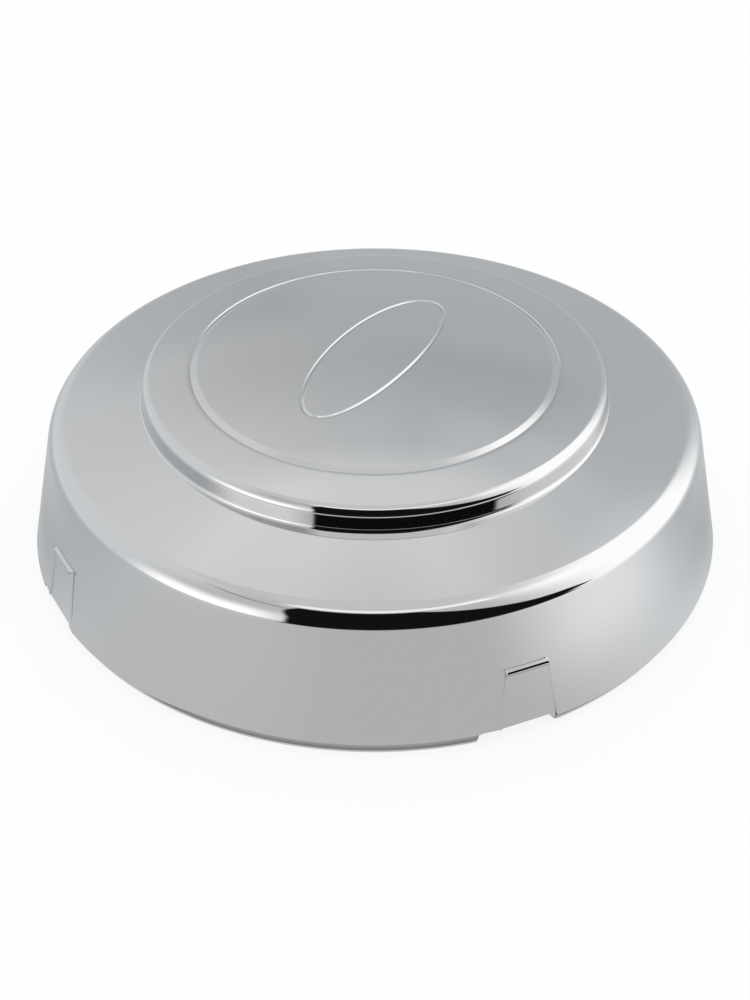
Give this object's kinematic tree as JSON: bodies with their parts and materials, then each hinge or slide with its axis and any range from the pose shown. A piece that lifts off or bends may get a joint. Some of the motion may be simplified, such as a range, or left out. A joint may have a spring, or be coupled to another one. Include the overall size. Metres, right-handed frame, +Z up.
{
  "type": "wheel center cap",
  "caption": "Round chrome wheel center cap: drafted skirt with four small leaning panels and a notched locating lip, rounded shoulder, raised domed boss with a ring groove and a bare oval line.",
  "frame": {"origin": "on the cap's axis, at the foot of the lip that it rests on", "axes": "+Z up along the wheel's axle, out through the dome; -Y is the side that faces the camera in the picture"},
  "size_m": [0.22, 0.22, 0.0658],
  "materials": {
    "chrome_plate": "bright chrome plate on moulded plastic"
  },
  "bodies": {
    "root": {"center_cap": "chrome_plate"}
  },
  "joints": []
}
